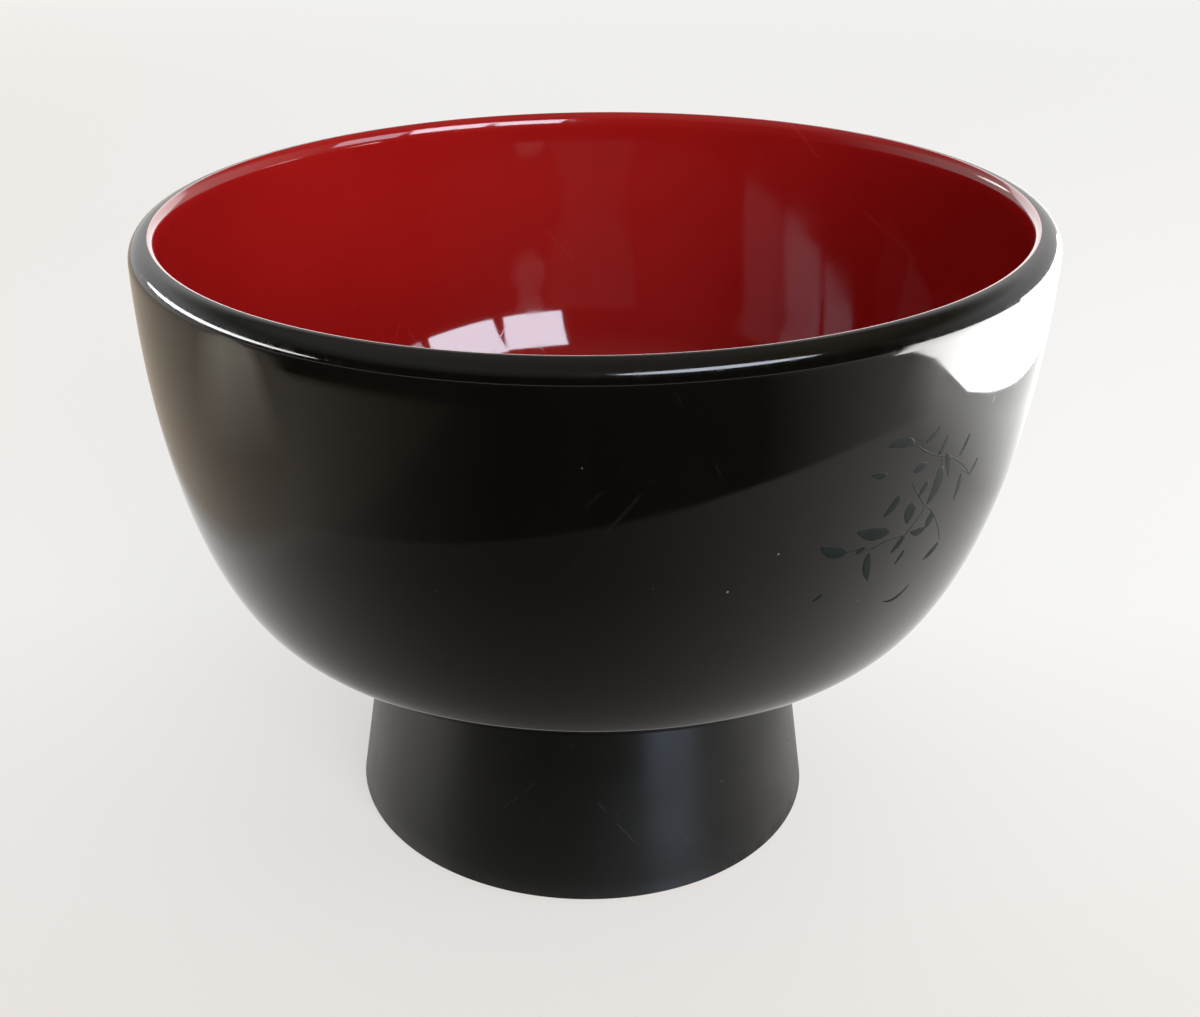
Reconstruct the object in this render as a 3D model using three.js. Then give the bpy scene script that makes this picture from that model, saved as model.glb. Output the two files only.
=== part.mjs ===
// A lacquered soup bowl. A turned wooden bowl is glued on a separately turned foot ring. Linen is pasted
// over the lip, in the well and round the foot's lower edge, a ground coat levels it, and lacquer closes
// it all: red inside, black outside.
// Millimetres, +Z up. The origin is the centre of the face that the foot stands on.
import * as THREE from 'three';

// Outside of the bowl, measured on the finished lacquer
const rimRadius = 60;
const bowlHeight = 62; // from the crease above the foot to the crest of the lip
const wallPull = 28.6; // handle of the wall's curve at the rim
const wallSwell = 0.3; // how far that handle stands outside the rim
const hipRadius = 48; // where the wall turns under
const hipRise = 9.8; // hip above the crease
const hipSlope = 32.7; // degrees from level
const hipPull = 6.5; // handle of the wall's curve at the hip
const underSlope = 17.2; // degrees from level, at the crease
const underPull = 5; // handles of the short curve between hip and crease

// Lip: two quarter ellipses that meet at the crest, where red meets black
const crestInset = 2.7; // crest in from the rim
const lipOuterDrop = 2.6; // height of the outer rounding
const lipInnerInset = 1.2; // width of the inner rounding
const lipInnerDrop = 2.4; // height of the inner rounding

// Inside of the bowl
const floorThickness = 7; // crease up to the well's lowest point
const innerPull = 43.8; // handle of the inside curve at the mouth
const innerSwell = 0.7; // how far that handle stands outside the mouth
const wellPull = 46; // handle of the inside curve at the well's centre

// Foot, measured on the finished lacquer
const footHeight = 28; // floor to the crease
const footRadius = 34.7; // at the floor
const waistRadius = 30.2; // at the crease
const footWall = 5; // thickness at the floor
const footLift = 0.5; // the coats stop this far above the floor
const landEdge = 0.5; // bevel at both edges of the face that the foot stands on
const bossRadius = 24; // boss under the bowl that centres the foot ring
const bossDepth = 3;

// Layers
const coatThickness = 0.25;
const groundThickness = 0.35;
const clothThickness = 0.4;
const lipClothDepth = 11; // how far the lip's linen reaches down from the crest, on both sides
const wellClothRadius = 20;
const footClothHeight = 9;

// Fineness of the turned shapes
const turnSteps = 40;
const wallSteps = 5;
const wellSteps = 7;

const groundDepth = coatThickness + groundThickness;
const clothDepth = groundDepth + clothThickness;

const at = (radius, height) => new THREE.Vector2(radius, height);

// A step of a given length in a direction given in degrees from level
function stride(length, degrees) {
  const angle = THREE.MathUtils.degToRad(degrees);
  return at(length * Math.cos(angle), length * Math.sin(angle));
}

// The finished surface runs from the crease, over the lip, to the centre of the well.
const crease = at(waistRadius, footHeight);
const hip = at(hipRadius, footHeight + hipRise);
const crest = at(rimRadius - crestInset, footHeight + bowlHeight);
const rim = at(rimRadius, crest.y - lipOuterDrop);
const mouth = at(crest.x - lipInnerInset, crest.y - lipInnerDrop);
const well = at(0, footHeight + floorThickness);

const underCurve = new THREE.CubicBezierCurve(
  crease,
  crease.clone().add(stride(underPull, underSlope)),
  hip.clone().sub(stride(underPull, hipSlope)),
  hip,
);
const wallCurve = new THREE.CubicBezierCurve(
  hip,
  hip.clone().add(stride(hipPull, hipSlope)),
  at(rim.x + wallSwell, rim.y - wallPull),
  rim,
);
const outerLip = new THREE.EllipseCurve(crest.x, rim.y, crestInset, lipOuterDrop, 0, Math.PI / 2);
const innerLip = new THREE.EllipseCurve(crest.x, mouth.y, lipInnerInset, lipInnerDrop, Math.PI / 2, Math.PI);
const innerCurve = new THREE.CubicBezierCurve(
  mouth,
  at(mouth.x + innerSwell, mouth.y - innerPull),
  at(wellPull, well.y),
  well,
);

// Where a curve crosses a value, for a measure that only grows or only shrinks along it
function findOn(curve, measure, value) {
  let low = 0;
  let high = 1;
  const grows = measure(curve.getPoint(high)) > measure(curve.getPoint(low));
  for (let halving = 0; halving < 40; halving += 1) {
    const middle = (low + high) / 2;
    if (measure(curve.getPoint(middle)) < value === grows) low = middle;
    else high = middle;
  }
  return (low + high) / 2;
}

// A station is a place on the finished surface, with the direction that leads into the wall.
function station(curve, t) {
  const tangent = curve.getTangent(t);
  return { point: curve.getPoint(t), inward: at(-tangent.y, tangent.x) };
}

// Stations at even steps along part of a curve, both ends included
function stations(curve, from, to, steps) {
  return Array.from({ length: steps + 1 }, (_, i) => station(curve, from + ((to - from) * i) / steps));
}

const sink = (places, depth) => places.map(({ point, inward }) => point.clone().addScaledVector(inward, depth));

const footSkin = (height) => footRadius + ((waistRadius - footRadius) * height) / footHeight;

// The bowl's layers end on the line of the foot's skin, so that the foot's layers can pass behind them.
const creaseStation = { point: crease, inward: at((waistRadius - footRadius) / footHeight, 1) };
const crestStation = { point: crest, inward: at(0, -1) };
const wellStation = { point: well, inward: at(0, -1) };

const clothHeight = crest.y - lipClothDepth;
const outerClothEdge = findOn(wallCurve, (point) => point.y, clothHeight);
const innerClothEdge = findOn(innerCurve, (point) => point.y, clothHeight);
const wellClothEdge = findOn(innerCurve, (point) => point.x, wellClothRadius);

const lowerWall = [creaseStation, station(underCurve, 0.5), ...stations(wallCurve, 0, outerClothEdge, wallSteps)];
const outerLipPlaces = [station(wallCurve, 1), station(outerLip, 1 / 3), station(outerLip, 2 / 3)];
const innerLipPlaces = [station(innerLip, 1 / 3), station(innerLip, 2 / 3), station(innerCurve, 0)];
const innerWall = stations(innerCurve, innerClothEdge, wellClothEdge, wellSteps);

const outside = [...lowerWall, ...outerLipPlaces, crestStation];
const inside = [crestStation, ...innerLipPlaces, ...innerWall, wellStation];
const underLipCloth = [lowerWall.at(-1), ...outerLipPlaces, crestStation, ...innerLipPlaces, innerWall[0]];
const underWellCloth = [innerWall.at(-1), wellStation];

// A layer between two depths that goes all the way round as a band
function band(places, shallow, deep) {
  const outer = sink(places, shallow);
  return [...outer, ...sink(places, deep).reverse(), outer[0].clone()];
}

// A layer between two depths that reaches the axis
const dish = (places, shallow, deep) => [...sink(places, deep).reverse(), ...sink(places, shallow)];

// A layer of the foot's outside between two depths
function sleeve(shallow, deep, top) {
  const low = footSkin(footLift);
  const high = footSkin(top);
  return [
    at(low - deep, footLift),
    at(low - shallow, footLift),
    at(high - shallow, top),
    at(high - deep, top),
    at(low - deep, footLift),
  ];
}

// The body's flat underside and the boss below it
const seat = footHeight + groundDepth;
const ceiling = seat - bossDepth;
const recessRadius = footRadius - footWall;

const bodyProfile = [
  at(0, ceiling),
  at(bossRadius, ceiling),
  at(bossRadius, seat),
  ...sink(lowerWall, groundDepth),
  ...sink(underLipCloth, clothDepth),
  ...sink(innerWall, groundDepth),
  ...sink(underWellCloth, clothDepth),
];

const ringProfile = [
  at(recessRadius + coatThickness + landEdge, 0),
  at(footSkin(0) - clothDepth - landEdge, 0),
  at(footSkin(footLift) - clothDepth, footLift),
  at(footSkin(footClothHeight) - clothDepth, footClothHeight),
  at(footSkin(footClothHeight) - groundDepth, footClothHeight),
  at(footSkin(seat) - groundDepth, seat),
  at(bossRadius, seat),
  at(bossRadius, ceiling),
  at(recessRadius + coatThickness, footLift),
  at(recessRadius + coatThickness + landEdge, 0),
];

const recessProfile = [
  at(0, ceiling - coatThickness),
  at(bossRadius - coatThickness, ceiling - coatThickness),
  at(recessRadius, footLift),
  at(recessRadius + coatThickness, footLift),
  at(bossRadius, ceiling),
  at(0, ceiling),
];

const bowl = new THREE.Group();

// Turns a profile about the Z axis and adds it to the bowl as a named piece.
function addTurned(name, profile, color, roughness) {
  const geometry = new THREE.LatheGeometry(profile, turnSteps);
  geometry.rotateX(Math.PI / 2);
  const mesh = new THREE.Mesh(geometry, new THREE.MeshStandardMaterial({ color, roughness, metalness: 0 }));
  mesh.name = name;
  bowl.add(mesh);
}

const woodColor = 0xb08457;
const linenColor = 0xb8a888;
const groundColor = 0x3b2b22;
const redColor = 0x8a1211;
const blackColor = 0x12100d;

addTurned('bowl_body', bodyProfile, woodColor, 0.75);
addTurned('foot_ring', ringProfile, woodColor, 0.75);
addTurned('lip_cloth', band(underLipCloth, groundDepth, clothDepth), linenColor, 0.95);
addTurned('well_cloth', dish(underWellCloth, groundDepth, clothDepth), linenColor, 0.95);
addTurned('foot_cloth', sleeve(groundDepth, clothDepth, footClothHeight), linenColor, 0.95);
addTurned('bowl_inner_ground', dish(inside, coatThickness, groundDepth), groundColor, 0.9);
addTurned('bowl_outer_ground', band(outside, coatThickness, groundDepth), groundColor, 0.9);
addTurned('foot_ground', sleeve(coatThickness, groundDepth, seat), groundColor, 0.9);
addTurned('bowl_red_coat', dish(inside, 0, coatThickness), redColor, 0.08);
addTurned('bowl_black_coat', band(outside, 0, coatThickness), blackColor, 0.06);
addTurned('foot_black_coat', sleeve(0, coatThickness, seat), blackColor, 0.35);
addTurned('foot_recess_coat', recessProfile, blackColor, 0.4);

export default bowl;
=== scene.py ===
import math

import bmesh
import bpy
from mathutils import Matrix, Vector


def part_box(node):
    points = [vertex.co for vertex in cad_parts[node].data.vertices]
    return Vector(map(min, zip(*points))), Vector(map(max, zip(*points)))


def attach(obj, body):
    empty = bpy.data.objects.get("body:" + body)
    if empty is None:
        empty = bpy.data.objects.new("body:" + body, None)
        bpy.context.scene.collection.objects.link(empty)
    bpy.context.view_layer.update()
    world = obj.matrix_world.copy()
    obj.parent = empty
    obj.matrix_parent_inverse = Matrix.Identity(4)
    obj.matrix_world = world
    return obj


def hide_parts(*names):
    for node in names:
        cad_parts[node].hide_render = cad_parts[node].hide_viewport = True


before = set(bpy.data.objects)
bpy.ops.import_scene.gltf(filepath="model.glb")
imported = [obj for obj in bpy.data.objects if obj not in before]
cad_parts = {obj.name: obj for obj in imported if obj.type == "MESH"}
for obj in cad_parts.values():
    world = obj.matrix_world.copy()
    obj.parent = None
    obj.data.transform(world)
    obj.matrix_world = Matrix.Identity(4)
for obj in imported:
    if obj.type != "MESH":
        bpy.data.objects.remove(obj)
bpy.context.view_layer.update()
print("frame loaded,", len(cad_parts), "nodes")

mm = 0.001
scene = bpy.context.scene
scene.view_settings.view_transform = "Standard"

# the bowl's finished surface, in the sizes that the solids have; slopes in degrees from level
bowl = {
    "rimRadius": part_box("bowl_black_coat")[1].x,
    "crestHeight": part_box("bowl_black_coat")[1].z,
    "creaseHeight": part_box("bowl_black_coat")[0].z,
    "wallPull": 28.6 * mm,   # handle of the wall's curve at the rim
    "wallSwell": 0.3 * mm,   # how far that handle stands outside the rim
    "hipRadius": 48 * mm,    # where the wall turns under
    "hipRise": 9.8 * mm,
    "hipSlope": 32.7,
    "hipPull": 6.5 * mm,
    "underSlope": 17.2,
    "underPull": 5 * mm,
    "crestInset": 2.7 * mm,  # red meets black on the crest
    "lipOuterDrop": 2.6 * mm,
    "lipInnerInset": 1.2 * mm,
    "lipInnerDrop": 2.4 * mm,
    "floorThickness": 7 * mm,
    "innerPull": 43.8 * mm,
    "innerSwell": 0.7 * mm,
    "wellPull": 46 * mm,
}

foot = {
    "floorRadius": 34.7 * mm,
    "waistRadius": 30.2 * mm,
    "wall": 5 * mm,
    "lift": 0.5 * mm,      # the coats stop this far above the floor
    "landEdge": 0.5 * mm,  # bevel at both edges of the land
    "bossRadius": 24 * mm,
    "bossDepth": 3 * mm,
    "softShare": 0.6,      # share of a layer's thickness that its lower edge is rounded by
    "softTurn": (0.0, 0.4, 0.8, 1.2, 1.57),  # stops round that edge, in radians
}

layers = {
    "coat": 0.25 * mm,
    "ground": 0.35 * mm,
    "cloth": 0.4 * mm,
    "lipClothDepth": 11 * mm,
    "wellClothRadius": 20 * mm,
    "footClothHeight": 9 * mm,
}

turning = {
    "spinSteps": 192,
    "underSteps": 14,
    "wallSteps": 56,
    "wellSteps": 64,
    "lipSteps": 14,
    "hiddenLipSteps": 3,  # the hidden layers turn the lip in a few flats, as there is no room for more
    "mergeDistance": 1e-6,
}


def stride(length, degrees):
    return Vector((math.cos(math.radians(degrees)), math.sin(math.radians(degrees)))) * length


def bezierRun(a, b, c, d, steps):
    # places along a curve, each with the direction that leads into the wall
    run = []
    for i in range(steps + 1):
        t = i / steps
        s = 1 - t
        point = a * s**3 + b * 3 * s * s * t + c * 3 * s * t * t + d * t**3
        slope = ((b - a) * s * s + (c - b) * 2 * s * t + (d - c) * t * t).normalized()
        run.append((point, Vector((-slope.y, slope.x))))
    return run


def lipRun(centre, wide, high, start, steps):
    # a quarter ellipse, from the start angle
    run = []
    for i in range(steps + 1):
        angle = start + math.pi / 2 * i / steps
        point = centre + Vector((wide * math.cos(angle), high * math.sin(angle)))
        slope = Vector((-wide * math.sin(angle), high * math.cos(angle))).normalized()
        run.append((point, Vector((-slope.y, slope.x))))
    return run


def sunk(run, depth):
    return [point + inward * depth for point, inward in run]


crease = Vector((foot["waistRadius"], bowl["creaseHeight"]))
hip = Vector((bowl["hipRadius"], bowl["creaseHeight"] + bowl["hipRise"]))
crest = Vector((bowl["rimRadius"] - bowl["crestInset"], bowl["crestHeight"]))
rim = Vector((bowl["rimRadius"], crest.y - bowl["lipOuterDrop"]))
mouth = Vector((crest.x - bowl["lipInnerInset"], crest.y - bowl["lipInnerDrop"]))
well = Vector((0, bowl["creaseHeight"] + bowl["floorThickness"]))
footLean = (foot["waistRadius"] - foot["floorRadius"]) / bowl["creaseHeight"]


def outsideRun(lipSteps):
    # from the crease up to the crest; the layers end on the line of the foot's skin
    under = bezierRun(crease, crease + stride(bowl["underPull"], bowl["underSlope"]),
                      hip - stride(bowl["underPull"], bowl["hipSlope"]), hip, turning["underSteps"])
    wall = bezierRun(hip, hip + stride(bowl["hipPull"], bowl["hipSlope"]),
                     rim + Vector((bowl["wallSwell"], -bowl["wallPull"])), rim, turning["wallSteps"])
    lip = lipRun(Vector((crest.x, rim.y)), bowl["crestInset"], bowl["lipOuterDrop"], 0, lipSteps)
    return [(crease, Vector((footLean, 1)))] + under[1:] + wall[1:] + lip[1:]


def insideRun(lipSteps):
    # from the crest down to the centre of the well
    lip = lipRun(Vector((crest.x, mouth.y)), bowl["lipInnerInset"], bowl["lipInnerDrop"],
                 math.pi / 2, lipSteps)
    wall = bezierRun(mouth, mouth + Vector((bowl["innerSwell"], -bowl["innerPull"])),
                     Vector((bowl["wellPull"], well.y)), well, turning["wellSteps"])
    return lip + wall[1:]


def finishMesh(name, bm, sharpAngle=40):
    for face in bm.faces:
        face.smooth = True
    mesh = bpy.data.meshes.new(name)
    bm.to_mesh(mesh)
    bm.free()
    mesh.set_sharp_from_angle(angle=math.radians(sharpAngle))
    piece = bpy.data.objects.new(name, mesh)
    scene.collection.objects.link(piece)
    return piece


def spinPiece(name, profile, closed):
    bm = bmesh.new()
    corners = [bm.verts.new((point.x, 0, point.y)) for point in profile]
    edges = [bm.edges.new(pair) for pair in zip(corners, corners[1:])]
    if closed:
        edges.append(bm.edges.new((corners[-1], corners[0])))
    bmesh.ops.spin(bm, geom=corners + edges, cent=(0, 0, 0), axis=(0, 0, 1),
                   angle=2 * math.pi, steps=turning["spinSteps"], use_merge=True)
    bmesh.ops.remove_doubles(bm, verts=bm.verts, dist=turning["mergeDistance"])
    bmesh.ops.recalc_face_normals(bm, faces=bm.faces)
    return finishMesh(name, bm)


# nodes for the materials

def addNode(tree, kind, values=None, **settings):
    # values are set or, where they are sockets, linked
    node = tree.nodes.new(kind)
    for key, value in settings.items():
        setattr(node, key, value)
    for key, value in (values or {}).items():
        if isinstance(value, bpy.types.NodeSocket):
            tree.links.new(value, node.inputs[key])
        else:
            node.inputs[key].default_value = value
    return node


def newMaterial(name):
    material = bpy.data.materials.new(name)
    material.use_nodes = True
    tree = material.node_tree
    place = addNode(tree, "ShaderNodeTexCoord").outputs["Object"]
    return material, tree, tree.nodes["Principled BSDF"], place


def turned(tree, place, turn, stretch):
    # the pattern is drawn out along its own axes, after it is turned
    values = {"Vector": place, "Rotation": turn, "Scale": stretch}
    return addNode(tree, "ShaderNodeMapping", values, vector_type="TEXTURE").outputs[0]


def noise(tree, place, scale, detail=2.0, roughness=0.5, distortion=0.0):
    values = {"Vector": place, "Scale": scale, "Detail": detail, "Roughness": roughness,
              "Distortion": distortion}
    return addNode(tree, "ShaderNodeTexNoise", values).outputs["Fac"]


def remap(tree, value, span, start=0.0, end=1.0):
    # goes from start to end as the value goes over the span
    values = {"Value": value, "From Min": span[0], "From Max": span[1], "To Min": start, "To Max": end}
    return addNode(tree, "ShaderNodeMapRange", values).outputs["Result"]


def sums(tree, operation, a, b=0.0):
    return addNode(tree, "ShaderNodeMath", {0: a, 1: b}, operation=operation).outputs[0]


def times(tree, a, b):
    return sums(tree, "MULTIPLY", a, b)


def larger(tree, a, b):
    return sums(tree, "MAXIMUM", a, b)


def vectorSums(tree, operation, a, b=(0, 0, 0)):
    node = addNode(tree, "ShaderNodeVectorMath", {0: a, 1: b}, operation=operation)
    return node.outputs["Value" if operation in ("LENGTH", "DISTANCE", "DOT_PRODUCT") else "Vector"]


def axes(tree, place):
    return addNode(tree, "ShaderNodeSeparateXYZ", {0: place}).outputs


def blendColour(tree, amount, a, b):
    node = addNode(tree, "ShaderNodeMix", {0: amount}, data_type="RGBA")
    for socket, value in ((node.inputs[6], a), (node.inputs[7], b)):  # the node's two colours
        if isinstance(value, bpy.types.NodeSocket):
            tree.links.new(value, socket)
        else:
            socket.default_value = (*value, 1)
    return node.outputs[2]


def bump(tree, height, distance, normal=None):
    values = {"Height": height, "Distance": distance, "Strength": 1.0}
    if normal is not None:
        values["Normal"] = normal
    return addNode(tree, "ShaderNodeBump", values).outputs["Normal"]


# lacquer: slow changes of tone, smears in the gloss, dust, fine scratches and rubbed edges
scratch = {
    "turns": ((0, -0.58, 0.3), (0, 0.64, 0.5)),  # the two ways they run
    "finer": 1.3,                                # scale of the second way
    "stretch": (1, 25, 25),
    "level": 0.5,
    "width": (0.0, 0.003),
    "patchScale": 2.5,                           # they show only in patches
    "patchEdge": 0.04,
}

lacquerMarks = {
    "cloudSpan": (0.3, 0.7),  # the part of each noise that shows
    "smearSpan": (0.45, 0.7),
    "rubSpan": (0.35, 0.65),
    "rubScale": 700,
    "quarterTurn": 0.25,
}

redLook = {
    "deep": (0.285, 0.0066, 0.0066), "light": (0.325, 0.0088, 0.0084), "cloudScale": 38,
    "smearScale": 55, "smear": 0.06, "roughness": 0.045, "ior": 1.53,
    "rubHeights": (87 * mm, 89 * mm), "rub": 0.05,
    "speckScale": 380, "speckSize": 0.07, "speckShare": 0.14, "speckHeight": 0.03 * mm,
    "speckColour": (0.36, 0.03, 0.03),
    "lineScale": 60, "lineShare": 0.42, "lineDull": 0.12, "lineDepth": 0.002 * mm,
    "lineColour": (0.33, 0.014, 0.014),
    "peelScale": 190, "peel": 0.006 * mm,
}

blackLook = {
    "deep": (0.0010, 0.0009, 0.0006), "light": (0.0026, 0.0019, 0.0012), "cloudScale": 30,
    "smearScale": 48, "smear": 0.05, "roughness": 0.03, "ior": 1.5,
    "rubHeights": (86.5 * mm, 88.5 * mm), "rub": 0.12,
    "speckScale": 380, "speckSize": 0.075, "speckShare": 0.16, "speckHeight": 0.03 * mm,
    "speckColour": (0.16, 0.155, 0.14),
    "lineScale": 55, "lineShare": 0.40, "lineDull": 0.10, "lineDepth": 0.002 * mm,
    "lineColour": (0.004, 0.004, 0.0033),
    "peelScale": 150, "peel": 0.005 * mm,
}

satinLook = {
    "deep": (0.0014, 0.0014, 0.0010), "light": (0.0028, 0.0028, 0.0022), "cloudScale": 60,
    "smearScale": 70, "smear": 0.06, "roughness": 0.34, "ior": 1.45, "spread": 0.9,
    "rubHeights": (3 * mm, 0.6 * mm), "rub": 0.15,
    "speckScale": 400, "speckSize": 0.075, "speckShare": 0.16, "speckHeight": 0.03 * mm,
    "speckColour": (0.14, 0.135, 0.125),
    "lineScale": 97, "lineShare": 0.42, "lineDull": 0.12, "lineDepth": 0.004 * mm,
    "lineColour": (0.020, 0.020, 0.019),
    "peelScale": 600, "peel": 0.002 * mm,
}

leafLook = {
    "deep": (0.003, 0.006, 0.005), "light": (0.006, 0.0115, 0.0095), "cloudScale": 420,
    "smearScale": 300, "smear": 0.15, "roughness": 0.5, "ior": 1.18,
    "rubHeights": (90 * mm, 91 * mm), "rub": 0.0,
    "speckScale": 900, "speckSize": 0.06, "speckShare": 0.2, "speckHeight": 0.004 * mm,
    "speckColour": (0.03, 0.045, 0.04),
    "lineScale": 300, "lineShare": 0.40, "lineDull": 0.1, "lineDepth": 0.001 * mm,
    "lineColour": (0.012, 0.02, 0.018),
    "peelScale": 1500, "peel": 0.002 * mm,
}


def hairlines(tree, place, turn, scale, share):
    # thin straight scratches: level lines of a stretched noise, kept where a second noise is high
    field = noise(tree, turned(tree, place, turn, scratch["stretch"]), scale, detail=0.0)
    offLine = sums(tree, "ABSOLUTE", sums(tree, "SUBTRACT", field, scratch["level"]))
    line = remap(tree, offLine, scratch["width"], 1.0, 0.0)
    patches = noise(tree, place, scale * scratch["patchScale"], detail=1.0)
    keep = remap(tree, patches, (1 - share, 1 - share + scratch["patchEdge"]))
    return times(tree, line, keep)


def specks(tree, place, scale, size, share):
    # dust caught in the lacquer: a small dot in a share of the cells
    cell = addNode(tree, "ShaderNodeTexVoronoi", {"Vector": place, "Scale": scale, "Randomness": 1.0})
    chance = addNode(tree, "ShaderNodeSeparateColor", {"Color": cell.outputs["Color"]}).outputs["Red"]
    reach = remap(tree, chance, (1 - share, 1.0), 0.0, size)
    return remap(tree, sums(tree, "SUBTRACT", reach, cell.outputs["Distance"]), (0.0, size / 2))


def lacquer(name, look):
    material, tree, shader, place = newMaterial(name)
    cloud = remap(tree, noise(tree, place, look["cloudScale"], detail=3.0), lacquerMarks["cloudSpan"])
    tone = blendColour(tree, cloud, look["deep"], look["light"])
    dots = specks(tree, place, look["speckScale"], look["speckSize"], look["speckShare"])
    oneWay, otherWay = scratch["turns"]
    finerScale = look["lineScale"] * scratch["finer"]
    lines = larger(tree, hairlines(tree, place, oneWay, look["lineScale"], look["lineShare"]),
                   hairlines(tree, place, otherWay, finerScale, look["lineShare"]))
    tone = blendColour(tree, lines, tone, look["lineColour"])
    shader.inputs["Base Color"].default_value = (*look["deep"], 1)
    tree.links.new(blendColour(tree, dots, tone, look["speckColour"]), shader.inputs["Base Color"])

    smears = noise(tree, place, look["smearScale"], detail=4.0, roughness=0.55, distortion=0.6)
    smear = remap(tree, smears, lacquerMarks["smearSpan"], 0.0, look["smear"])
    rubs = noise(tree, place, lacquerMarks["rubScale"], detail=3.0, roughness=0.6)
    rubbed = times(tree, remap(tree, axes(tree, place)["Z"], look["rubHeights"], 0.0, look["rub"]),
                   remap(tree, rubs, lacquerMarks["rubSpan"]))
    worn = sums(tree, "ADD", sums(tree, "ADD", smear, rubbed), times(tree, lines, look["lineDull"]))
    rough = addNode(tree, "ShaderNodeMath", {0: worn, 1: look["roughness"]},
                    operation="ADD", use_clamp=True).outputs[0]
    tree.links.new(rough, shader.inputs["Roughness"])

    peel = bump(tree, noise(tree, place, look["peelScale"]), look["peel"])
    raised = bump(tree, dots, look["speckHeight"], peel)
    scored = bump(tree, times(tree, lines, -1.0), look["lineDepth"], raised)
    tree.links.new(scored, shader.inputs["Normal"])
    shader.inputs["IOR"].default_value = look["ior"]
    if "spread" in look:
        # fine turning marks draw the highlights out up and down
        shader.inputs["Anisotropic"].default_value = look["spread"]
        shader.inputs["Anisotropic Rotation"].default_value = lacquerMarks["quarterTurn"]
        around = addNode(tree, "ShaderNodeTangent", direction_type="RADIAL", axis="Z").outputs["Tangent"]
        tree.links.new(around, shader.inputs["Tangent"])
    return material


# wood, linen and ground
woodLook = {
    "dark": (0.16, 0.085, 0.038), "light": (0.33, 0.19, 0.09), "toneSpan": (0.1, 0.6),
    "ringScale": 90, "ringTurn": (0, math.pi / 2, 0), "ringStretch": (1, 1, 4), "ringWaver": 5.0,
    "poreScale": 900, "poreStretch": (1, 1, 12), "poreDepth": 0.05 * mm,
    "poreSpan": (0.3, 0.7), "roughness": (0.5, 0.75),
}

linenLook = {
    "dark": (0.25, 0.20, 0.13), "light": (0.48, 0.40, 0.27), "toneSpan": (0.3, 1.4),
    "threadScale": 260, "threadWaver": 0.4, "threadLift": 0.4, "threadDepth": 0.08 * mm,
    "weaveSpan": (0.0, 2.0), "roughness": (0.9, 0.75),
}

groundLook = {
    "dark": (0.030, 0.017, 0.011), "light": (0.060, 0.034, 0.022),
    "gritScale": 1200, "gritSpan": (0.3, 0.7), "gritDepth": 0.02 * mm, "roughness": (0.7, 0.9),
}


def turnedWood(name, look):
    # growth rings across the blank, with fine pores
    material, tree, shader, place = newMaterial(name)
    across = turned(tree, place, look["ringTurn"], look["ringStretch"])
    grain = addNode(tree, "ShaderNodeTexWave",
                    {"Vector": across, "Scale": look["ringScale"], "Distortion": look["ringWaver"],
                     "Detail": 3.0, "Detail Scale": 1.2},
                    wave_type="RINGS", rings_direction="X").outputs["Fac"]
    pores = noise(tree, turned(tree, place, (0, 0, 0), look["poreStretch"]), look["poreScale"])
    tone = remap(tree, times(tree, grain, pores), look["toneSpan"])
    tree.links.new(blendColour(tree, tone, look["dark"], look["light"]), shader.inputs["Base Color"])
    tree.links.new(remap(tree, pores, look["poreSpan"], *look["roughness"]), shader.inputs["Roughness"])
    tree.links.new(bump(tree, pores, look["poreDepth"]), shader.inputs["Normal"])
    return material


def pastedLinen(name, look):
    # over and under of a plain weave
    material, tree, shader, place = newMaterial(name)
    values = {"Vector": place, "Scale": look["threadScale"], "Distortion": look["threadWaver"]}
    threads = [addNode(tree, "ShaderNodeTexWave", values, bands_direction=way).outputs["Fac"]
               for way in ("X", "Y", "Z")]
    weave = times(tree, sums(tree, "ADD", threads[0], threads[1]),
                  sums(tree, "ADD", threads[2], look["threadLift"]))
    tone = remap(tree, weave, look["toneSpan"])
    tree.links.new(blendColour(tree, tone, look["dark"], look["light"]), shader.inputs["Base Color"])
    tree.links.new(remap(tree, weave, look["weaveSpan"], *look["roughness"]), shader.inputs["Roughness"])
    tree.links.new(bump(tree, weave, look["threadDepth"]), shader.inputs["Normal"])
    return material


def groundCoat(name, look):
    # mineral powder in lacquer, rubbed flat
    material, tree, shader, place = newMaterial(name)
    grit = noise(tree, place, look["gritScale"], detail=4.0, roughness=0.7)
    tone = remap(tree, grit, look["gritSpan"])
    tree.links.new(blendColour(tree, tone, look["dark"], look["light"]), shader.inputs["Base Color"])
    tree.links.new(remap(tree, grit, look["gritSpan"], *look["roughness"]), shader.inputs["Roughness"])
    tree.links.new(bump(tree, grit, look["gritDepth"]), shader.inputs["Normal"])
    return material


# by the record's slots
finishes = {
    "red_lacquer": lacquer("redLacquer", redLook),
    "black_lacquer": lacquer("blackLacquer", blackLook),
    "satin_black_lacquer": lacquer("satinLacquer", satinLook),
    "turned_wood": turnedWood("turnedWood", woodLook),
    "pasted_linen": pastedLinen("pastedLinen", linenLook),
    "ground_coat": groundCoat("groundCoat", groundLook),
}
leafLacquer = lacquer("leafLacquer", leafLook)
print("materials made")

# the bowl's layers, from the lacquer inwards
fineOutside = outsideRun(turning["lipSteps"])
fineInside = insideRun(turning["lipSteps"])
outside = outsideRun(turning["hiddenLipSteps"])
inside = insideRun(turning["hiddenLipSteps"])

coatDepth = layers["coat"]
groundDepth = coatDepth + layers["ground"]
clothDepth = groundDepth + layers["cloth"]
clothHeight = crest.y - layers["lipClothDepth"]
clothRadius = layers["wellClothRadius"]


def band(run, shallow, deep):
    # goes all the way round
    return sunk(run, shallow) + sunk(run, deep)[::-1]


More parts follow.
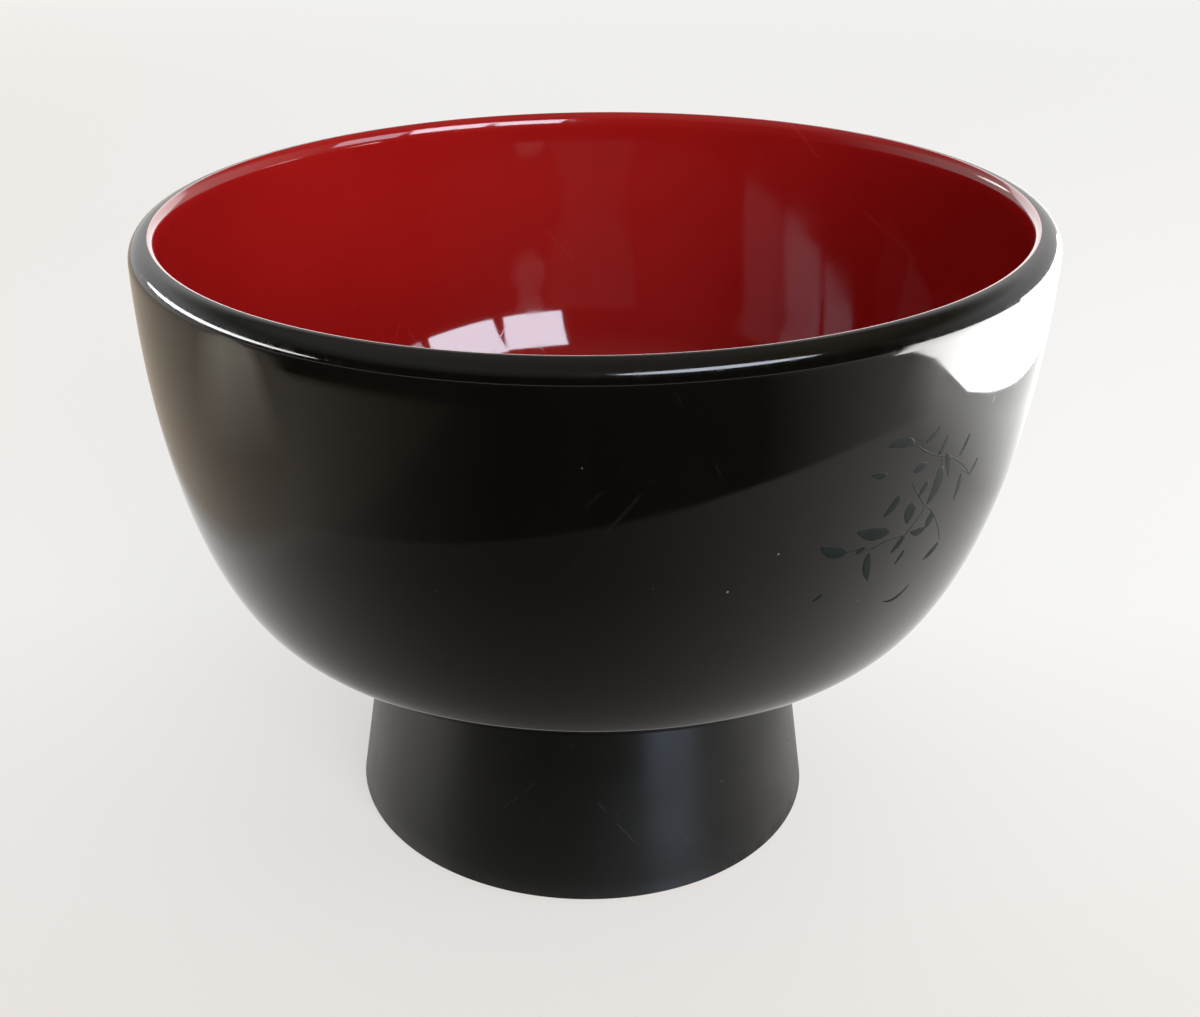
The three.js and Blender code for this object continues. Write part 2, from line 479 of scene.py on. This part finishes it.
def dish(run, shallow, deep):
    # reaches the axis
    return sunk(run, deep)[::-1] + sunk(run, shallow)


def addLayer(name, node, slot, profile, closed):
    # spins a layer and puts it in its solid's place; a profile that ends on the axis isn't closed
    piece = spinPiece(name, profile, closed)
    piece.data.materials.append(finishes[slot])
    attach(piece, "root")
    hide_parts(node)
    return piece


redCoat = addLayer("redCoat", "bowl_red_coat", "red_lacquer",
                   dish(fineInside, 0, coatDepth)[::-1], closed=False)
blackCoat = addLayer("blackCoat", "bowl_black_coat", "black_lacquer",
                     band(fineOutside, 0, coatDepth), closed=True)
addLayer("innerGround", "bowl_inner_ground", "ground_coat",
         dish(inside, coatDepth, groundDepth), closed=False)
addLayer("outerGround", "bowl_outer_ground", "ground_coat",
         band(outside, coatDepth, groundDepth), closed=True)

lowerWall = [spot for spot in outside if spot[0].y < clothHeight]
outerLip = [spot for spot in outside if spot[0].y >= clothHeight]
innerLip = [spot for spot in inside[1:] if spot[0].y >= clothHeight]
innerWall = [spot for spot in inside if spot[0].y < clothHeight and spot[0].x > clothRadius]
underWellCloth = [spot for spot in inside if spot[0].x <= clothRadius]
addLayer("lipCloth", "lip_cloth", "pasted_linen",
         band(outerLip + innerLip, groundDepth, clothDepth), closed=True)
addLayer("wellCloth", "well_cloth", "pasted_linen",
         dish(underWellCloth, groundDepth, clothDepth), closed=False)

# the body's flat underside, and the boss below it
seat = bowl["creaseHeight"] + groundDepth
ceiling = seat - foot["bossDepth"]
bossRadius = foot["bossRadius"]
bodyProfile = [Vector((0, ceiling)), Vector((bossRadius, ceiling)), Vector((bossRadius, seat))]
bodyProfile += sunk(lowerWall, groundDepth) + sunk(outerLip + innerLip, clothDepth)
bodyProfile += sunk(innerWall, groundDepth) + sunk(underWellCloth, clothDepth)
addLayer("bowlBody", "bowl_body", "turned_wood", bodyProfile, closed=False)
print("bowl spun")

# the foot's layers
lift = foot["lift"]
clothTop = layers["footClothHeight"]
recessRadius = foot["floorRadius"] - foot["wall"]


def footSkin(height, depth):
    return Vector((foot["floorRadius"] + footLean * height - depth, height))


def sleeve(shallow, deep, top):
    # a layer of the foot's outside, its lower edge rounded over
    soft = (deep - shallow) * foot["softShare"]
    low = footSkin(lift, shallow)
    edge = [low + Vector((soft * (math.sin(a) - 1), soft * (1 - math.cos(a)))) for a in foot["softTurn"]]
    return [footSkin(lift, deep)] + edge + [footSkin(top, shallow), footSkin(top, deep)]


footCoat = addLayer("footCoat", "foot_black_coat", "satin_black_lacquer",
                    sleeve(0, coatDepth, seat), closed=True)
addLayer("footGround", "foot_ground", "ground_coat", sleeve(coatDepth, groundDepth, seat), closed=True)
addLayer("footCloth", "foot_cloth", "pasted_linen", sleeve(groundDepth, clothDepth, clothTop), closed=True)

ringProfile = [
    Vector((recessRadius + coatDepth + foot["landEdge"], 0)),
    footSkin(0, clothDepth + foot["landEdge"]),
    footSkin(lift, clothDepth),
    footSkin(clothTop, clothDepth),
    footSkin(clothTop, groundDepth),
    footSkin(seat, groundDepth),
    Vector((bossRadius, seat)),
    Vector((bossRadius, ceiling)),
    Vector((recessRadius + coatDepth, lift)),
]
addLayer("footRing", "foot_ring", "turned_wood", ringProfile, closed=True)

recessProfile = [
    Vector((0, ceiling - coatDepth)),
    Vector((bossRadius - coatDepth, ceiling - coatDepth)),
    Vector((recessRadius, lift)),
    Vector((recessRadius + coatDepth, lift)),
    Vector((bossRadius, ceiling)),
    Vector((0, ceiling)),
]
addLayer("recessCoat", "foot_recess_coat", "satin_black_lacquer", recessProfile, closed=False)
print("foot spun")

# a spray of leaves on the wall, drawn flat in millimetres: along the wall to the right, and up
spray = {
    "azimuth": 40,  # degrees from the near side towards +X
    "height": 62 * mm,
    "proud": 0.012 * mm,
    "buried": 0.03 * mm,
    "rimBand": 0.01,
    "twigWidth": 0.22,
    "lengthSteps": 14,
    "twigSteps": 4,    # across
    "leafSteps": 8,    # across
    "leafBelly": 0.8,  # below 1 the widest place moves towards the root
    "leafFullness": 0.85,
    "leafEnd": 0.02,
    "sharpAngle": 60,
    # root, tip, width, curl
    "leaves": (
        ((-3.3, 14.4), (-7.3, 15.0), 1.5, -0.10), ((-6.6, 11.6), (-9.0, 12.1), 0.95, 0.05),
        ((-0.7, 11.2), (-2.8, 10.7), 1.4, -0.08), ((-1.7, 14.0), (0.4, 15.7), 0.7, -0.08),
        ((0.9, 11.7), (2.1, 14.1), 0.9, -0.05), ((2.3, 11.7), (3.7, 8.1), 1.05, 0.06),
        ((5.0, 10.3), (6.4, 12.9), 0.75, -0.05), ((8.4, 6.8), (9.6, 8.7), 0.8, -0.05),
        ((6.4, 7.9), (6.2, 4.1), 1.0, 0.06), ((1.8, 10.4), (0.7, 5.4), 2.1, 0.14),
        ((0.1, 8.9), (-1.1, 7.2), 1.1, 0.05), ((-4.1, 8.5), (-6.2, 6.0), 1.35, 0.10),
        ((-2.1, 6.8), (-1.9, 3.8), 2.1, 0.05), ((2.4, 4.2), (1.8, 2.0), 1.6, 0.06),
        ((1.9, 2.1), (-1.0, 2.6), 1.25, 0.10), ((-4.3, 3.7), (-9.6, 5.2), 1.9, 0.06),
        ((-1.7, 2.5), (-3.5, 0.4), 1.15, 0.05), ((-10.1, 2.6), (-14.1, 4.4), 1.75, 0.08),
        ((-7.7, 2.7), (-9.0, 2.1), 1.0, 0.05), ((-7.0, 1.8), (-5.8, -2.7), 1.4, -0.06),
        ((-1.0, 0.2), (-2.2, -1.6), 0.7, 0.05), ((5.9, -1.2), (3.4, -3.0), 1.2, 0.08),
        ((2.6, -5.9), (-2.2, -6.8), 0.65, 0.22), ((-12.2, -2.4), (-13.6, -3.3), 0.6, 0.05),
    ),
    # start, bend, end
    "twigs": (
        ((8.9, 6.5), (6.0, 9.4), (3.0, 11.0)), ((3.0, 11.0), (-0.6, 12.0), (-3.3, 14.4)),
        ((1.8, 11.4), (1.9, 10.9), (1.8, 10.2)), ((-2.7, 9.6), (-1.3, 7.4), (0.7, 5.4)),
        ((0.7, 5.4), (1.5, 4.9), (2.4, 4.0)), ((0.7, 5.4), (-0.4, 3.6), (-1.9, 2.3)),
        ((-1.9, 2.3), (-4.4, 2.9), (-7.0, 2.0)), ((-7.0, 2.0), (-8.4, 2.9), (-10.4, 2.6)),
        ((2.4, 4.0), (4.8, 1.2), (5.9, -1.2)), ((8.4, 6.8), (7.0, 8.0), (6.2, 8.2)),
    ),
}


def onWall(along, up, rise):
    # a place on the drawing, moved onto the wall and out of it by the rise
    height = spray["height"] + up * mm
    for (low, lowIn), (high, highIn) in zip(fineOutside, fineOutside[1:]):
        if low.y <= height <= high.y:
            break
    share = (height - low.y) / (high.y - low.y)
    radius = low.x + (high.x - low.x) * share
    out = -(lowIn + (highIn - lowIn) * share).normalized()
    angle = math.radians(spray["azimuth"]) + along * mm / crest.x
    reach = radius + out.x * rise
    return Vector((math.sin(angle) * reach, -math.cos(angle) * reach, height + out.y * rise))


sprayMesh = bmesh.new()


def layStrip(widthSteps, shape):
    # a film of paint: shape turns a grid's own coordinates into along and up; the rim runs into the wall
    film = bmesh.ops.create_grid(sprayMesh, x_segments=spray["lengthSteps"], y_segments=widthSteps,
                                 size=0.5)
    rimBand = spray["rimBand"]
    for vert in film["verts"]:
        t = vert.co.x + 0.5     # 0 at the start, 1 at the end
        side = vert.co.y * 2    # -1 and 1 at the sides
        spot = shape(t, side)
        inner = abs(side) < 1 - rimBand and rimBand < t < 1 - rimBand
        vert.co = onWall(spot.x, spot.y, spray["proud"] if inner else -spray["buried"])


def addTwig(start, bend, end):
    start, bend, end = Vector(start), Vector(bend), Vector(end)

    def shape(t, side):
        spot = start * (1 - t) ** 2 + bend * 2 * t * (1 - t) + end * t * t
        way = ((bend - start) * (1 - t) + (end - bend) * t).normalized()
        return spot + Vector((-way.y, way.x)) * side * spray["twigWidth"] / 2
    layStrip(spray["twigSteps"], shape)


def addLeaf(root, tip, width, curl):
    root, tip = Vector(root), Vector(tip)
    across = Vector((root.y - tip.y, tip.x - root.x))

    def shape(t, side):
        swell = max(math.sin(math.pi * t ** spray["leafBelly"]), spray["leafEnd"])
        wide = width / 2 * swell ** spray["leafFullness"] / across.length
        return root + (tip - root) * t + across * (side * wide + curl * 4 * t * (1 - t))
    layStrip(spray["leafSteps"], shape)


for leaf in spray["leaves"]:
    addLeaf(*leaf)
for twig in spray["twigs"]:
    addTwig(*twig)
bmesh.ops.recalc_face_normals(sprayMesh, faces=sprayMesh.faces)
leafSpray = finishMesh("leafSpray", sprayMesh, spray["sharpAngle"])
leafSpray.data.materials.append(leafLacquer)
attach(leafSpray, "root")
print("leaf spray laid on the wall")


def lightPath(tree):
    # the kinds of ray, and those that show a surface: seen, mirrored or looked through
    ray = addNode(tree, "ShaderNodeLightPath").outputs
    mirrored = larger(tree, ray["Is Glossy Ray"], ray["Is Transmission Ray"])
    return ray, larger(tree, ray["Is Camera Ray"], mirrored)


# the floor; each pair in metres says where a change starts and where it is complete
floorLook = {
    "radius": 3.0, "segments": 128, "roughness": 0.6,
    "near": (0.79, 0.76, 0.74), "far": (0.95, 0.945, 0.935),
    "nearGlow": (0.78, 0.72, 0.69), "farGlow": (0.97, 0.965, 0.955), "leftGlow": (0.96, 0.86, 0.71),
    "awayGlow": (0.93, 0.93, 0.925), "glowShare": 0.62,
    "backFade": (-0.15, 0.05), "frontFade": (-0.2, -0.5), "awayFade": (0.35, 1.2),
    "leftSeen": (-0.09, -0.60), "leftMirrored": (-0.09, -0.16),
}


def paleFloor(name, look):
    material, tree, shader, place = newMaterial(name)
    across = axes(tree, place)
    ray, shown = lightPath(tree)
    # painted shade: the floor is darker in a band in front of the bowl, fading out under it, and whiter
    # behind it and far in front
    fade = larger(tree, remap(tree, across["Y"], look["backFade"]),
                  remap(tree, across["Y"], look["frontFade"]))
    tree.links.new(blendColour(tree, fade, look["near"], look["far"]), shader.inputs["Base Color"])
    shader.inputs["Roughness"].default_value = look["roughness"]
    shader.inputs["Specular IOR Level"].default_value = 0.0

    # painted reflection: close by on the left the floor is warm only in the lacquer; to the camera the left
    # is warm only further off
    warmed = times(tree, remap(tree, across["X"], look["leftMirrored"]), ray["Is Glossy Ray"])
    onLeft = larger(tree, remap(tree, across["X"], look["leftSeen"]), warmed)
    glowColour = blendColour(tree, fade, look["nearGlow"], look["farGlow"])
    glowColour = blendColour(tree, onLeft, glowColour, look["leftGlow"])

    # far away the floor runs into the white of the room
    away = remap(tree, vectorSums(tree, "LENGTH", place), look["awayFade"])
    glowColour = blendColour(tree, away, glowColour, look["awayGlow"])
    share = times(tree, shown, remap(tree, away, (0.0, 1.0), look["glowShare"], 1.0))
    glow = addNode(tree, "ShaderNodeEmission", {"Color": glowColour, "Strength": 1.0}).outputs[0]
    pale = addNode(tree, "ShaderNodeMixShader", {0: share, 1: shader.outputs[0], 2: glow}).outputs[0]
    tree.links.new(pale, tree.nodes["Material Output"].inputs["Surface"])
    return material


floorMesh = bmesh.new()
bmesh.ops.create_circle(floorMesh, cap_ends=True, segments=floorLook["segments"],
                        radius=floorLook["radius"])
floor = finishMesh("floor", floorMesh)
floor.data.materials.append(paleFloor("paleFloor", floorLook))

# a sheet of painted shade on the floor that only the lacquer mirrors: it keeps the front black and carries
# two painted glows that show as soft gleams
paintedShadeLook = {
    "inner": 0.036, "outer": 1.2, "segments": 96, "sheetLift": 0.4 * mm, "roughness": 0.9,
    # the sheet's colour is painted shade, darkest towards the near side
    "colour": (0.013, 0.011, 0.007), "darkest": -10, "gather": 1.3,  # darkest in degrees from the near side
    "shadeStrengthSpan": (0.05, 0.12), "shadeStrength": (0.70, 0.86), "most": 0.965,
    # painted shade: past a round edge it is darker, most of all on the right
    "edgeMiddle": (0.04, 0.03, 0), "edgeSpan": (0.185, 0.188), "beyond": 0.11,
    "rightSpan": (0.0, 0.12), "rightGather": 0.5, "beyondRight": 0.45,
    # painted reflection: brown on the left; painted shade again far out
    "leftSpan": (-0.105, -0.125), "leftReflectedColour": (0.50, 0.34, 0.19), "leftShade": 0.5,
    "farSide": (-0.05, -0.15), "farFront": (-0.085, -0.115), "farSpan": (0.265, 0.285), "farShade": 0.5,
    "gleam": 0.95, "gleamRight": (1, 1, 0.97), "gleamLeft": (1, 0.92, 0.78),
    "gleamWay": (0.85, 0.52, 0), "rightReach": (0.136, 0.186), "rightFront": (-0.09, -0.04),
    "leftReach": (-0.17, -0.28), "leftBack": (0.035, -0.015), "leftFront": (-0.08, -0.06),
}


def paintedShadeMaterial(name, look):
    material, tree, shader, place = newMaterial(name)
    shader.inputs["Roughness"].default_value = look["roughness"]
    shader.inputs["Specular IOR Level"].default_value = 0.0
    flat = vectorSums(tree, "MULTIPLY", place, (1, 1, 0))
    reach = vectorSums(tree, "LENGTH", flat)
    across = axes(tree, flat)
    sideways = across["X"]
    backwards = across["Y"]
    toDark = math.radians(look["darkest"])
    facing = vectorSums(tree, "DOT_PRODUCT", vectorSums(tree, "NORMALIZE", flat),
                        (math.sin(toDark), -math.cos(toDark), 0))
    facing = larger(tree, facing, 0.0)

    fromEdge = vectorSums(tree, "DISTANCE", flat, look["edgeMiddle"])
    pastEdge = remap(tree, fromEdge, look["edgeSpan"])
    shadeStrength = sums(tree, "ADD", remap(tree, reach, look["shadeStrengthSpan"], *look["shadeStrength"]),
                 times(tree, pastEdge, look["beyond"]))
    rightEdge = times(tree, times(tree, pastEdge, remap(tree, sideways, look["rightSpan"])),
                      times(tree, sums(tree, "POWER", facing, look["rightGather"]), look["beyondRight"]))
    farLeft = times(tree, remap(tree, sideways, look["farSide"], 0.0, look["farShade"]),
                    remap(tree, backwards, look["farFront"]))
    farDark = times(tree, farLeft, remap(tree, reach, look["farSpan"]))
    # painted shade: darkest towards the near side and further out
    dark = times(tree, sums(tree, "POWER", facing, look["gather"]), shadeStrength)
    dark = sums(tree, "ADD", sums(tree, "ADD", dark, rightEdge), farDark)
    dark = sums(tree, "MINIMUM", dark, look["most"])

    # painted reflection: on the left the sheet is brown and covers the floor only in part
    toLeft = remap(tree, sideways, look["leftSpan"])
    cover = larger(tree, dark, times(tree, toLeft, look["leftShade"]))
    brown = times(tree, toLeft, sums(tree, "SUBTRACT", 1.0, dark))
    tone = blendColour(tree, brown, look["colour"], look["leftReflectedColour"])
    tree.links.new(tone, shader.inputs["Base Color"])
    clear = addNode(tree, "ShaderNodeBsdfTransparent").outputs[0]
    shadeMix = addNode(tree, "ShaderNodeMixShader", {0: cover, 1: clear, 2: shader.outputs[0]}).outputs[0]

    # painted light: the two gleams glow right and left of the bowl, though no lamp is there, and show only
    # in the lacquer
    toRight = vectorSums(tree, "DOT_PRODUCT", flat, look["gleamWay"])
    rightGleam = times(tree, remap(tree, toRight, look["rightReach"], 0.0, look["gleam"]),
                       remap(tree, backwards, look["rightFront"]))
    leftStrip = times(tree, remap(tree, backwards, look["leftBack"]),
                      remap(tree, backwards, look["leftFront"]))
    leftGleam = times(tree, remap(tree, sideways, look["leftReach"], 0.0, look["gleam"]), leftStrip)
    gleamColour = blendColour(tree, toLeft, look["gleamRight"], look["gleamLeft"])
    # painted glow, which the lacquer shows as reflected light
    gleam = addNode(tree, "ShaderNodeEmission",
                    {"Color": gleamColour, "Strength": sums(tree, "ADD", rightGleam, leftGleam)}).outputs[0]
    lit = addNode(tree, "ShaderNodeAddShader", {0: shadeMix, 1: gleam}).outputs[0]
    tree.links.new(lit, tree.nodes["Material Output"].inputs["Surface"])
    return material


paintedShadeMesh = bmesh.new()
bmesh.ops.create_circle(paintedShadeMesh, cap_ends=False, segments=paintedShadeLook["segments"],
                        radius=paintedShadeLook["inner"])
ring = bmesh.ops.extrude_edge_only(paintedShadeMesh, edges=paintedShadeMesh.edges)
outerRing = [item for item in ring["geom"] if isinstance(item, bmesh.types.BMVert)]
widen = Vector((1, 1, 1)) * paintedShadeLook["outer"] / paintedShadeLook["inner"]
bmesh.ops.scale(paintedShadeMesh, vec=widen, verts=outerRing)
bmesh.ops.translate(paintedShadeMesh, vec=(0, 0, paintedShadeLook["sheetLift"]), verts=paintedShadeMesh.verts)
# the painted shade sheet shows only to glossy rays
paintedShadeSheet = finishMesh("paintedShadeSheet", paintedShadeMesh)
paintedShadeSheet.data.materials.append(paintedShadeMaterial("paintedShadeSheet", paintedShadeLook))
paintedShadeSheet.visible_camera = False
paintedShadeSheet.visible_diffuse = False
paintedShadeSheet.visible_shadow = False
# the cloth laid here is the painted shade sheet
print("floor and cloth laid")

# the room: white behind the bowl, dim on the camera's side, even light for matt surfaces
room = {
    "light": 0.48, "evenColour": (1.0, 0.985, 0.96),
    "white": (0.93, 0.93, 0.925), "dim": (0.035, 0.032, 0.028),
    "ceilingLeft": (0.35, 0.35, 0.34), "ceilingRight": (0.21, 0.17, 0.125),
    # where each change starts and where it is complete, along X, Y or Z of the direction
    "backSpan": (-0.25, 0.45), "backTop": (0.40, 0.62), "sideSpan": (-0.6, 0.6), "ceilingSpan": (0.45, 0.8),
}
world = bpy.data.worlds.new("room")
scene.world = world
world.use_nodes = True
tree = world.node_tree
tree.nodes.clear()
ray, shown = lightPath(tree)
way = axes(tree, addNode(tree, "ShaderNodeTexCoord").outputs["Generated"])
behind = times(tree, remap(tree, way["Y"], room["backSpan"]),
               remap(tree, way["Z"], room["backTop"], 1.0, 0.0))
ceilingColour = blendColour(tree, remap(tree, way["X"], room["sideSpan"]), room["ceilingLeft"],
                            room["ceilingRight"])
above = blendColour(tree, remap(tree, way["Z"], room["ceilingSpan"]), room["dim"], ceilingColour)
roomColour = blendColour(tree, larger(tree, behind, ray["Is Camera Ray"]), above, room["white"])
seen = addNode(tree, "ShaderNodeBackground", {"Color": roomColour, "Strength": 1.0}).outputs[0]
even = addNode(tree, "ShaderNodeBackground",
               {"Color": (*room["evenColour"], 1), "Strength": room["light"]}).outputs[0]
both = addNode(tree, "ShaderNodeMixShader", {0: shown, 1: even, 2: seen}).outputs[0]
addNode(tree, "ShaderNodeOutputWorld", {"Surface": both})


def lightGroup(name, piece, state):
    # a light that is given this group reaches only the piece, or all but it
    group = bpy.data.collections.new(name)
    group.objects.link(piece)
    group.collection_objects[0].light_linking.link_state = state
    return group


onFoot = lightGroup("onFoot", footCoat, "INCLUDE")
offFoot = lightGroup("offFoot", footCoat, "EXCLUDE")
inBowl = lightGroup("inBowl", redCoat, "INCLUDE")
offInside = lightGroup("offInside", redCoat, "EXCLUDE")
offOutside = lightGroup("offOutside", blackCoat, "EXCLUDE")

# lights: glow is the brightness of a rectangular face, where 1 is white; a pane shows only in the lacquer
warm = (1, 0.985, 0.96)
plain = (1, 1, 1)
cool = (0.79, 0.86, 1)
blue = (0.62, 0.76, 1)
towardsBowl = (0, 0, 0.06)
lights = {
    "overhead": {"at": (0.15, 0.10, 0.85), "wide": 0.9, "high": 0.7, "glow": 0.6, "colour": warm,
                 "pane": False},
    "rightSoft": {"at": (0.70, -0.05, 0.24), "wide": 0.5, "high": 0.3, "glow": 3.0, "colour": warm,
                  "pane": False},
    "nearSoft": {"at": (0.33, -0.70, 0.36), "wide": 0.5, "high": 0.4, "glow": 8.3, "colour": warm,
                 "pane": False},
    "leftPane": {"at": (-0.76, 0.06, 0.24), "wide": 1.0, "high": 0.10, "glow": 14, "colour": warm,
                 "pane": True, "round": True, "lit": offInside},
    "leftSlit": {"at": (-0.65, 1.00, 0.41), "wide": 0.40, "high": 0.12, "glow": 6, "colour": warm,
                 "pane": True, "round": True, "lit": offOutside},
    "backPane": {"at": (0.10, 1.50, 0.44), "wide": 1.45, "high": 0.78, "glow": 1.5, "colour": plain,
                 "pane": True, "round": True, "lit": offOutside},
    "rightPaneA": {"at": (0.240, -0.030, 0.050), "wide": 0.17, "high": 0.086, "glow": 11, "colour": warm,
                   "pane": True, "aim": (0, -0.117, 0.05), "roll": -10, "lit": offFoot},
    "rightPaneB": {"at": (0.190, 0.109, 0.044), "wide": 0.137, "high": 0.098, "glow": 11, "colour": warm,
                   "pane": True, "aim": (0, 0.040, 0.044), "roll": -4, "lit": offFoot},
    "nearPaneA": {"at": (0.54, -0.56, 0.46), "wide": 0.36, "high": 0.32, "glow": 16, "colour": cool,
                  "pane": True, "lit": inBowl},
    "nearPaneB": {"at": (0.24, -0.74, 0.45), "wide": 0.30, "high": 0.30, "glow": 16, "colour": cool,
                  "pane": True, "lit": inBowl},
    "nearPaneC": {"at": (0.76, -0.26, 0.40), "wide": 0.34, "high": 0.30, "glow": 6, "colour": cool,
                  "pane": True, "lit": inBowl},
    "footPane": {"at": (0.36, -0.35, 0.16), "wide": 0.22, "high": 0.09, "glow": 29, "colour": blue,
                 "pane": True, "lit": onFoot},
    "highPane": {"at": (0.40, -0.53, 0.80), "wide": 0.72, "high": 0.20, "glow": 10, "colour": cool,
                 "pane": True, "round": True, "lit": offInside},
}
for name, look in lights.items():
    light = bpy.data.lights.new(name, "AREA")
    light.shape = "ELLIPSE" if look.get("round") else "RECTANGLE"
    light.size = look["wide"]
    light.size_y = look["high"]
    light.energy = look["glow"] * math.pi * look["wide"] * look["high"]
    light.color = look["colour"]
    lamp = bpy.data.objects.new(name, light)
    lamp.location = look["at"]
    aim = Vector(look.get("aim", towardsBowl))
    turn = (aim - lamp.location).to_track_quat("-Z", "Y").to_matrix()
    lamp.rotation_euler = (turn @ Matrix.Rotation(math.radians(look.get("roll", 0)), 3, "Z")).to_euler()
    lamp.light_linking.receiver_collection = look.get("lit")
    lamp.visible_camera = False
    lamp.visible_diffuse = not look["pane"]
    lamp.visible_glossy = look["pane"]
    scene.collection.objects.link(lamp)
print("room and lights set")

# camera at the photograph's angle; turns in radians, focal and middle in pixels of the picture
view = {"eye": (0, -0.20058, 0.14301), "pitch": 0.5115, "yaw": -0.081, "roll": -0.0316,
        "picture": (1200, 1017), "focal": 1511.3, "middle": (475, 597), "clipStart": 0.01}
pictureWide, pictureHigh = view["picture"]
camera = bpy.data.cameras.new("camera")
camera.sensor_fit = "HORIZONTAL"
camera.lens = view["focal"] / pictureWide * camera.sensor_width
camera.shift_x = (pictureWide / 2 - view["middle"][0]) / pictureWide
camera.shift_y = (view["middle"][1] - pictureHigh / 2) / pictureWide
camera.clip_start = view["clipStart"]
forward = Vector((math.sin(view["yaw"]) * math.cos(view["pitch"]),
                  math.cos(view["yaw"]) * math.cos(view["pitch"]), -math.sin(view["pitch"])))
level = Vector((math.cos(view["yaw"]), -math.sin(view["yaw"]), 0))
upright = level.cross(forward)
right = level * math.cos(view["roll"]) + upright * math.sin(view["roll"])
up = upright * math.cos(view["roll"]) - level * math.sin(view["roll"])
turn = Matrix((right, up, -forward)).transposed().to_4x4()
cameraObject = bpy.data.objects.new("camera", camera)
cameraObject.matrix_world = Matrix.Translation(view["eye"]) @ turn
scene.collection.objects.link(cameraObject)
scene.camera = cameraObject
print("camera set")
